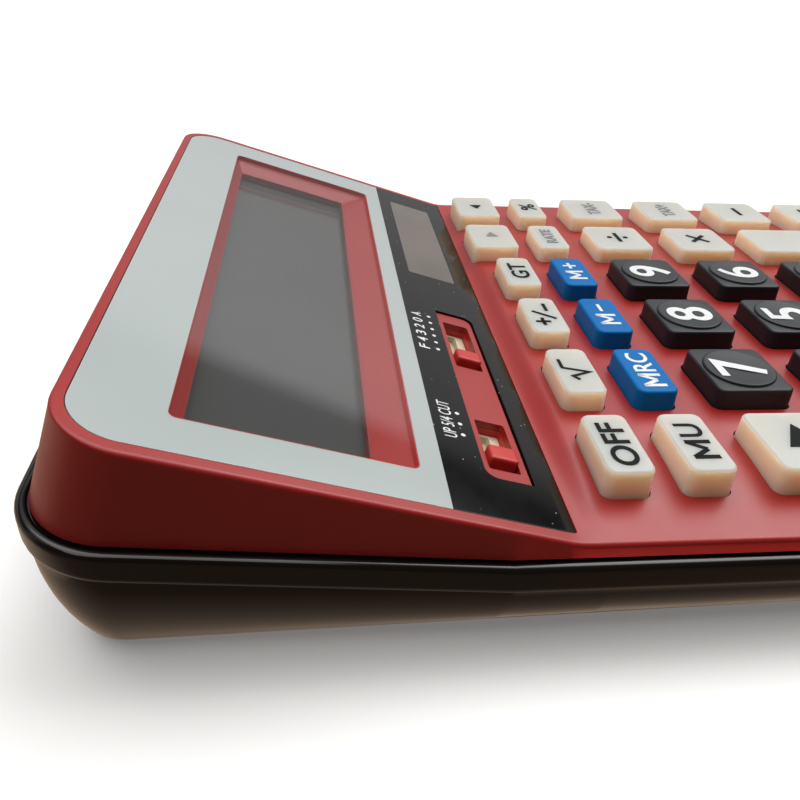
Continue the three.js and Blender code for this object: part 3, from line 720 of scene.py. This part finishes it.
def build_window_liner():
    """Red frame under the window, sloping from its edge down to the opening over the display cell; its red is
    painted brighter than the housing's, painted light for a frame that sits in shade.
    """
    rings = []
    for share, z in ((-0.04, -RECESS - 0.4), (-0.04, -PANEL_THICK), (0.0, -PANEL_THICK), (0.0, -0.04),
                     (0.03, -0.04), (0.06, -1.05), (0.97, -RECESS - 0.05), (1.0, -RECESS - 0.15),
                     (1.0, -RECESS - 0.4)):
        box = [a + (b - a) * share for a, b in zip(WINDOW, LCD_VIEW)]
        rings.append(at_height(rounded_rect(*box, (WINDOW_CORNER - 0.7 * share,) * 4), z))
    rings.append(rings[0])
    verts, faces = placed(stack(rings, close=False), ON_DISPLAY)
    return make_piece("window_liner", verts, faces, [RED_PAINTED_BRIGHT])


build_window_liner()
window_pane("solar_pane", SOLAR, 0.6, SOLAR_TINT, ["solar_window"], 1.4)
lcd_verts, lcd_faces = display_block(-64, 61, 26.5, 60.5, (0.3,) * 4, -SHELL - 2.6, -SHELL - 0.3)
make_piece("lcd_glass", lcd_verts, lcd_faces, [LCD_GREY], replaces=["lcd_cell"])


# ---------------------------------------------------------------- slide switch knobs
def build_knob(name, centre):
    half_x, y0, y1 = 1.9, SLOT_Y[0] + 0.25, SLOT_Y[1] - 0.25
    rings = []
    for inset, z in ((0.0, SWITCH_FACE + 0.2), (0.0, -0.1), (0.03, 0.35), (0.14, 0.55), (0.35, 0.67),
                     (0.6, 0.7)):
        box = (centre - half_x + inset, centre + half_x - inset, y0 + inset, y1 - inset)
        rings.append(at_height(rounded_rect(*box, (max(0.6 - inset, 0.15),) * 4), z))
    middle = sum(SLOT_Y) / 2
    lever = prism(rounded_rect(centre - 0.9, centre + 0.9, middle - 0.6, middle + 0.6, (0.2,) * 4),
                  SWITCH_FACE - 1.0, SWITCH_FACE + 0.4)
    verts, faces = placed(joined([stack(rings), lever]), ON_DISPLAY)
    # The cap takes the brighter painted copy of the housing red.
    make_piece(f"{name}_knob_cap", verts, faces, [RED_PAINTED_BRIGHT], body=f"{name}_knob",
               replaces=[f"{name}_knob"])


for slot_name, (_, _, centre) in SLOTS.items():
    build_knob(slot_name, centre)


# ---------------------------------------------------------------- keys and their legends
def root_sign(size):
    return stroke([(-0.95 * size, 0.05 * size), (-0.62 * size, 0.30 * size), (-0.25 * size, -0.62 * size),
                   (0.16 * size, 0.62 * size), (0.95 * size, 0.62 * size)], 0.17 * size)


def arrow(size, direction=1):
    tip, tail, wing = size * direction, -0.35 * size * direction, 0.75 * size
    return [(tip, 0.0), (tail, wing), (tail, -wing)], [(0, 1, 2)]


def bar(width, thick, x=0.0, y=0.0):
    return stroke([(x - width / 2, y), (x + width / 2, y)], thick)


def cross(size, thick):
    return flat_join([bar(size, thick), stroke([(0, -size / 2), (0, size / 2)], thick)])


def times(size, thick):
    d = size / 2 * 0.72
    return flat_join([stroke([(-d, -d), (d, d)], thick), stroke([(-d, d), (d, -d)], thick)])


def divide(size, thick):
    return flat_join([bar(size, thick), disc_outline(0, size * 0.36, thick * 0.68),
                      disc_outline(0, -size * 0.36, thick * 0.68)])


def percent(size):
    return glyphs("%", size * 1.15, size, 0.01)


def letter_m(width, height, thick):
    w, h = width / 2 - thick / 2, height / 2
    legs = [bar(thick, height, x) for x in (-w, w)]
    slants = [stroke([(sign * w, h - 0.1 * thick), (0.0, -0.45 * h)], thick * 0.92) for sign in (-1, 1)]
    return flat_join(legs + slants)


LEGENDS = {
    "off": shifted(glyphs("OFF", 11.4, 4.4, 0.02), -0.45, 0),
    "mark_up": flat_join([shifted(letter_m(4.9, 4.3, 0.92), -2.35, 0),
                          shifted(glyphs("U", 3.7, 4.3, 0.014), 2.85, 0)]),
    "square_root": root_sign(3.8),
    "plus_minus": flat_join([shifted(cross(3.2, 0.72), -3.3, 0.9), stroke([(-2.0, -2.2), (1.4, 2.2)], 0.68),
                             shifted(bar(3.4, 0.72), 3.2, -1.0)]),
    "grand_total": glyphs("GT", 8.4, 4.2, 0.016),
    "percent": percent(4.4), "tax": glyphs("RATE", 9.4, 2.9, 0.03),
    "memory_recall": flat_join([shifted(letter_m(4.4, 4.2, 0.84), -3.9, 0),
                                shifted(glyphs("RC", 6.8, 4.2, 0.014), 2.5, 0)]),
    "memory_minus": flat_join([shifted(letter_m(4.6, 4.2, 0.84), -2.2, 0), bar(3.2, 0.7, 3.1, 0.2)]),
    "memory_plus": flat_join([shifted(letter_m(4.6, 4.2, 0.84), -2.2, 0),
                              shifted(cross(3.2, 0.7), 3.1, 0.2)]),
    "backspace": shifted(arrow(4.8, 1), -0.5, 0), "exchange": arrow(3.0, -1),
    "divide": divide(6.0, 1.0), "multiply": times(6.4, 1.05),
    "tax_minus": glyphs("TAX-", 9.6, 3.6, 0.03), "tax_plus": glyphs("TAX+", 9.6, 3.6, 0.03),
    "clear_entry": glyphs("CE", 8.4, 5.4, 0.02), "all_clear": glyphs("AC", 8.8, 5.4, 0.02),
    "minus": bar(6.0, 1.1), "equals": flat_join([bar(6.0, 1.0, 0, 1.3), bar(6.0, 1.0, 0, -1.3)]),
    "plus": cross(6.4, 1.1), "check": arrow(2.2, 1), "correct": arrow(2.2, -1),
    "point": disc_outline(0, -2.0, 1.05), "00": glyphs("00", 9.4, 7.6, 0.012),
}
FADED = ("tax", "tax_minus", "tax_plus", "check")
DIGIT_W, DIGIT_H = 6.3, 9.8
for digit in "0123456789":
    LEGENDS[digit] = glyphs(digit, DIGIT_W * (0.55 if digit == "1" else 1.0), DIGIT_H, 0.014)


def dish(r):
    """Height of a number key's raised disc above its top edge, at radius r."""
    return 0.12 + 0.33 * min((r / 6.6) ** 2, 1.0)


KEY_RAYS = 112


def key_ring(x, y, depth, grow, radius, z):
    """Rounded rectangle sampled by angle, so that rings of any shape can follow on the same rays."""
    w, d = KEY_W / 2 + grow, depth / 2 + grow
    cw, cd = w - radius, d - radius
    ring = []
    for i in range(KEY_RAYS):
        turn = math.tau * (i + 0.5) / KEY_RAYS
        ux, uy = abs(math.cos(turn)), abs(math.sin(turn))
        reach = min(w / max(ux, 1e-9), d / max(uy, 1e-9))
        if reach * ux > cw and reach * uy > cd:
            along = ux * cw + uy * cd
            reach = along + math.sqrt(max(along * along - cw * cw - cd * cd + radius * radius, 0.0))
        ring.append((x + reach * math.cos(turn), y + reach * math.sin(turn), z))
    return ring


# radius and height of each ring of a number key's raised disc; None follows the dished top
DISC_RINGS = ((6.72, 0.0), (6.70, 0.18), (6.62, 0.34), (6.46, 0.43), (6.2, 0.42), (5.0, None), (3.6, None),
              (2.0, None), (0.7, None))


def build_key(name, x, y, depth, finish):
    rings = [key_ring(x, y, depth, grow, KEY_CORNER, z)
             for grow, z in ((0.0, KEY_BOTTOM), (0.0, 0.0), (-KEY_DRAFT, KEY_TOP - KEY_EDGE))]
    for i in range(1, 7):
        angle = math.pi / 2 * i / 6
        inset = KEY_EDGE * (1 - math.cos(angle))
        top = KEY_TOP - KEY_EDGE * (1 - math.sin(angle))
        rings.append(key_ring(x, y, depth, -KEY_DRAFT - inset, KEY_CORNER - inset, top))
    if finish == "dark":
        turns = [math.tau * (i + 0.5) / KEY_RAYS for i in range(KEY_RAYS)]
        for r, z in DISC_RINGS:
            lift = dish(r) if z is None else z
            rings.append([(x + r * math.cos(turn), y + r * math.sin(turn), KEY_TOP + lift) for turn in turns])

    def top_z(px, py):
        return KEY_TOP + dish(math.hypot(px - x, py - y)) + 0.03 if finish == "dark" else KEY_TOP

    verts, faces = stack(rings)
    marks = [0] * len(faces)
    legend = LEGENDS.get(name)
    if legend:
        ink_verts, ink_faces = ink(shifted(legend, x, y), top_z)
        base = len(verts)
        verts = verts + ink_verts
        faces = faces + [tuple(base + i for i in f) for f in ink_faces]
        marks += [1] * len(ink_faces)
    body_mat = {"white": KEY_WHITE, "blue": KEY_BLUE, "dark": KEY_DARK}[finish]
    ink_mat = INK_GREY if name in FADED else INK_BLACK if finish == "white" else INK_WHITE
    make_piece(f"cap_{name}", verts, faces, [body_mat, ink_mat], body=f"key_{name}",
               replaces=[f"key_{name}"], face_mats=marks)


for key_name, (key_x, key_y, key_depth, key_finish) in KEYS.items():
    build_key(key_name, key_x, key_y, key_depth, key_finish)


# ---------------------------------------------------------------- switch scales printed on the black strip
DOT_Y, DOT_RADIUS = 14.6, 0.40
SCALE_START, SCALE_STEP = -23.6, 2.75


def build_switch_print():
    """Marks beside the two switches: three rounding modes and six decimal places."""
    parts = [shifted(glyphs("UP 5/4 CUT", 10.5, 2.3, 0.004), -47.9, 16.9)]
    parts += [disc_outline(x, DOT_Y, DOT_RADIUS) for x in (-51.85, -48.75, -45.65)]
    for place, label in enumerate("F4320A"):
        x = SCALE_START + SCALE_STEP * place
        parts.append(shifted(glyphs(label, 1.5, 2.2, 0.010), x, 17.4))
        parts.append(disc_outline(x, DOT_Y, DOT_RADIUS))
    verts, faces = ink(flat_join(parts), lambda x, y: 0.0, 0.03)
    return make_piece("switch_scale", verts, faces, [INK_WHITE], matrix=ON_DISPLAY)


build_switch_print()


# ---------------------------------------------------------------- membrane, feet and carried-over nodes
# radius and height of each ring
DOME_RINGS = ((2.8, -5.75), (2.6, -5.3), (1.9, -4.6), (1.5, -4.4))
FOOT_RINGS = ((5.1, -FOOT_HEIGHT), (5.35, -1.72), (5.5, -1.5), (5.5, -0.1), (5.5, 0.05))


def turned(x, y, profile, count):
    """Round solid about an upright axis at x, y."""
    return stack([at_height(disc_outline(x, y, radius, count)[0], z) for radius, z in profile])


def build_membrane():
    """Rubber sheet with one dome under every key."""
    sheet = prism(rounded_rect(-66, 66, -77, 38.5, (2.0,) * 4), -6.3, -5.7)
    verts, faces = joined([sheet] + [turned(x, y, DOME_RINGS, 16) for x, y, _, _ in KEYS.values()])
    return make_piece("membrane_sheet", verts, faces, [GREY_RUBBER], replaces=["key_membrane"])


build_membrane()
for row_name, foot_y in (("front", FOOT_FRONT_Y), ("back", FOOT_BACK_Y)):
    for side_name, foot_x in (("left", -FOOT_X), ("right", FOOT_X)):
        foot_verts, foot_faces = turned(foot_x, foot_y, FOOT_RINGS, 48)
        make_piece(f"pad_{row_name}_{side_name}", foot_verts, foot_faces, [BLACK_RUBBER],
                   replaces=[f"foot_{row_name}_{side_name}"], matrix=ON_BASE)

CARRIED = {
    "lcd_connector": GREY_RUBBER, "solar_cell": SILICON, "decimal_switch": BEIGE, "rounding_switch": BEIGE,
    "main_board": BOARD, "controller_chip": EPOXY, "button_cell": STEEL, "battery_cover": BLACK,
    "battery_contact_top": STEEL, "battery_contact_side": STEEL, "screw_left": STEEL, "screw_right": STEEL,
}
for node_name, material in CARRIED.items():
    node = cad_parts[node_name]
    for material_slot in node.material_slots:
        material_slot.material = material
    soften = node.modifiers.new("edge", "BEVEL")
    soften.width = 0.00015
    soften.segments = 2
    soften.limit_method = "ANGLE"


# ---------------------------------------------------------------- floor, light and camera
def math_node(tree, operation, a, b=None):
    node = tree.nodes.new("ShaderNodeMath")
    node.operation = operation
    for socket, value in zip(node.inputs, (a, b)):
        if value is None:
            continue
        if isinstance(value, (int, float)):
            socket.default_value = value
        else:
            tree.links.new(value, socket)
    return node.outputs[0]


def floor_material():
    """Pale paper to the camera; what the object mirrors from it is a darker, warmer table tone that glows
    faintly, and brightly beneath the object: painted light for the shaded floor there.
    """
    mat, tree, nodes, shader = new_material("floor_paper")
    coords = nodes.new("ShaderNodeTexCoord").outputs["Object"]
    tone = map_range(tree, add_noise(tree, coords, 3.0), 0.3, 0.7, 0.0, 1.0)
    path = nodes.new("ShaderNodeLightPath")
    paper = mix_colours(tree, tone, (0.90, 0.90, 0.895), (0.88, 0.88, 0.875))
    table = mix_colours(tree, tone, (0.13, 0.088, 0.062), (0.11, 0.073, 0.052))
    seen = path.outputs["Is Camera Ray"]
    tree.links.new(mix_colours(tree, seen, table, paper), shader.inputs["Base Color"])
    shader.inputs["Roughness"].default_value = 0.9
    shader.inputs["Specular IOR Level"].default_value = 0.1
    across = nodes.new("ShaderNodeSeparateXYZ")
    tree.links.new(coords, across.inputs[0])
    # Beneath the body the floor glows brown for every ray but the camera's: painted light that brightens what
    # the tray mirrors from its shaded floor.
    under = map_range(tree, math_node(tree, "ABSOLUTE", across.outputs["X"]), 0.070, 0.088, 1.0, 0.0)
    painted_glow_in_reflections = mix_colours(tree, under, (0.03, 0.022, 0.016), (0.40, 0.295, 0.215))
    lift = mix_colours(tree, seen, painted_glow_in_reflections, (0.16, 0.16, 0.16))
    tree.links.new(lift, shader.inputs["Emission Color"])
    shader.inputs["Emission Strength"].default_value = 1.0
    return mat


def build_stage():
    bm = bmesh.new()
    bmesh.ops.create_grid(bm, x_segments=2, y_segments=2, size=6.0)
    mesh = bpy.data.meshes.new("floor")
    bm.to_mesh(mesh)
    bm.free()
    floor = bpy.data.objects.new("floor", mesh)
    bpy.context.scene.collection.objects.link(floor)
    mesh.materials.append(floor_material())


def area_light(name, spot, target, size, power, colour):
    data = bpy.data.lights.new(name, "AREA")
    data.shape = "RECTANGLE"
    data.size, data.size_y = size
    data.energy = power
    data.color = colour
    lamp = bpy.data.objects.new(name, data)
    lamp.location = spot
    lamp.rotation_euler = (Vector(target) - Vector(spot)).to_track_quat("-Z", "Y").to_euler()
    bpy.context.scene.collection.objects.link(lamp)


WALL_LOW, WALL_HIGH = 0.27, 0.70
ABOVE_LOW, ABOVE_HIGH = 0.05, 0.95
LAMP, LAMP_TOWARD = 3.9, (0.396, -0.472, 0.788)
NEAR_SIDE = (0.070, 0.050, 0.037)
SEEN_BACKDROP = (0.95, 0.95, 0.945)


def build_world():
    """Studio surround: a bright wall low on the +X side with a soft upper edge, dim and warm elsewhere."""
    world = bpy.data.worlds.new("studio")
    world.use_nodes = True
    tree = world.node_tree
    background = tree.nodes["Background"]
    direction = tree.nodes.new("ShaderNodeSeparateXYZ")
    tree.links.new(tree.nodes.new("ShaderNodeTexCoord").outputs["Generated"], direction.inputs[0])
    x, y, z = direction.outputs
    reach = math_node(tree, "MAXIMUM", x, 0.05)
    height = math_node(tree, "SUBTRACT", z, math_node(tree, "MULTIPLY", y, 0.12))
    rise = math_node(tree, "DIVIDE", height, reach)
    wall = map_range(tree, rise, 0.565, 0.605, 1.0, 0.0)
    wall = math_node(tree, "MULTIPLY", wall, map_range(tree, rise, 0.0, 0.5, WALL_LOW, WALL_HIGH))
    above = map_range(tree, z, 0.55, 0.75, ABOVE_LOW, ABOVE_HIGH)
    front = map_range(tree, x, -0.25, 0.15, 0.0, 1.0)
    far_side = math_node(tree, "MAXIMUM", wall, above)
    blend = mix_colours(tree, front, NEAR_SIDE, (1.0, 1.0, 1.0))
    level = math_node(tree, "MULTIPLY", front, far_side)
    level = math_node(tree, "ADD", level, math_node(tree, "SUBTRACT", 1.0, front))
    toward = tree.nodes.new("ShaderNodeVectorMath")
    toward.operation = "DOT_PRODUCT"
    toward.inputs[1].default_value = LAMP_TOWARD
    tree.links.new(tree.nodes["Texture Coordinate"].outputs["Generated"], toward.inputs[0])
    level = math_node(tree, "ADD", level, map_range(tree, toward.outputs["Value"], 0.87, 0.96, 0.0, LAMP))
    glow = tree.nodes.new("ShaderNodeVectorMath")
    glow.operation = "SCALE"
    tree.links.new(blend, glow.inputs[0])
    tree.links.new(level, glow.inputs["Scale"])
    seen = tree.nodes.new("ShaderNodeLightPath").outputs["Is Camera Ray"]
    tree.links.new(mix_colours(tree, seen, glow.outputs[0], SEEN_BACKDROP), background.inputs["Color"])
    bpy.context.scene.world = world
    bpy.context.scene.view_settings.view_transform = "Standard"


CAMERA_SPOT = (-0.14940, 0.06142, 0.09482)
CAMERA_LOOK = (0.83118, -0.10386, -0.54621)
CAMERA_UP = (0.54657, -0.02754, 0.83696)
CAMERA_LENS = 34.05


def build_camera():
    camera_data = bpy.data.cameras.new("camera")
    camera_data.sensor_width = 36.0
    camera_data.lens = CAMERA_LENS
    camera_data.clip_start = 0.01
    camera = bpy.data.objects.new("camera", camera_data)
    look = Vector(CAMERA_LOOK).normalized()
    right = look.cross(Vector(CAMERA_UP)).normalized()
    up = right.cross(look).normalized()
    turn = Matrix((right, up, -look)).transposed().to_4x4()
    camera.matrix_world = Matrix.Translation(CAMERA_SPOT) @ turn
    bpy.context.scene.collection.objects.link(camera)
    bpy.context.scene.camera = camera


build_stage()
build_world()
area_light("sky_panel", (-0.05, 0.40, 1.5), (0, 0, 0), (1.6, 1.3), 13.5, (1.0, 0.985, 0.96))
build_camera()
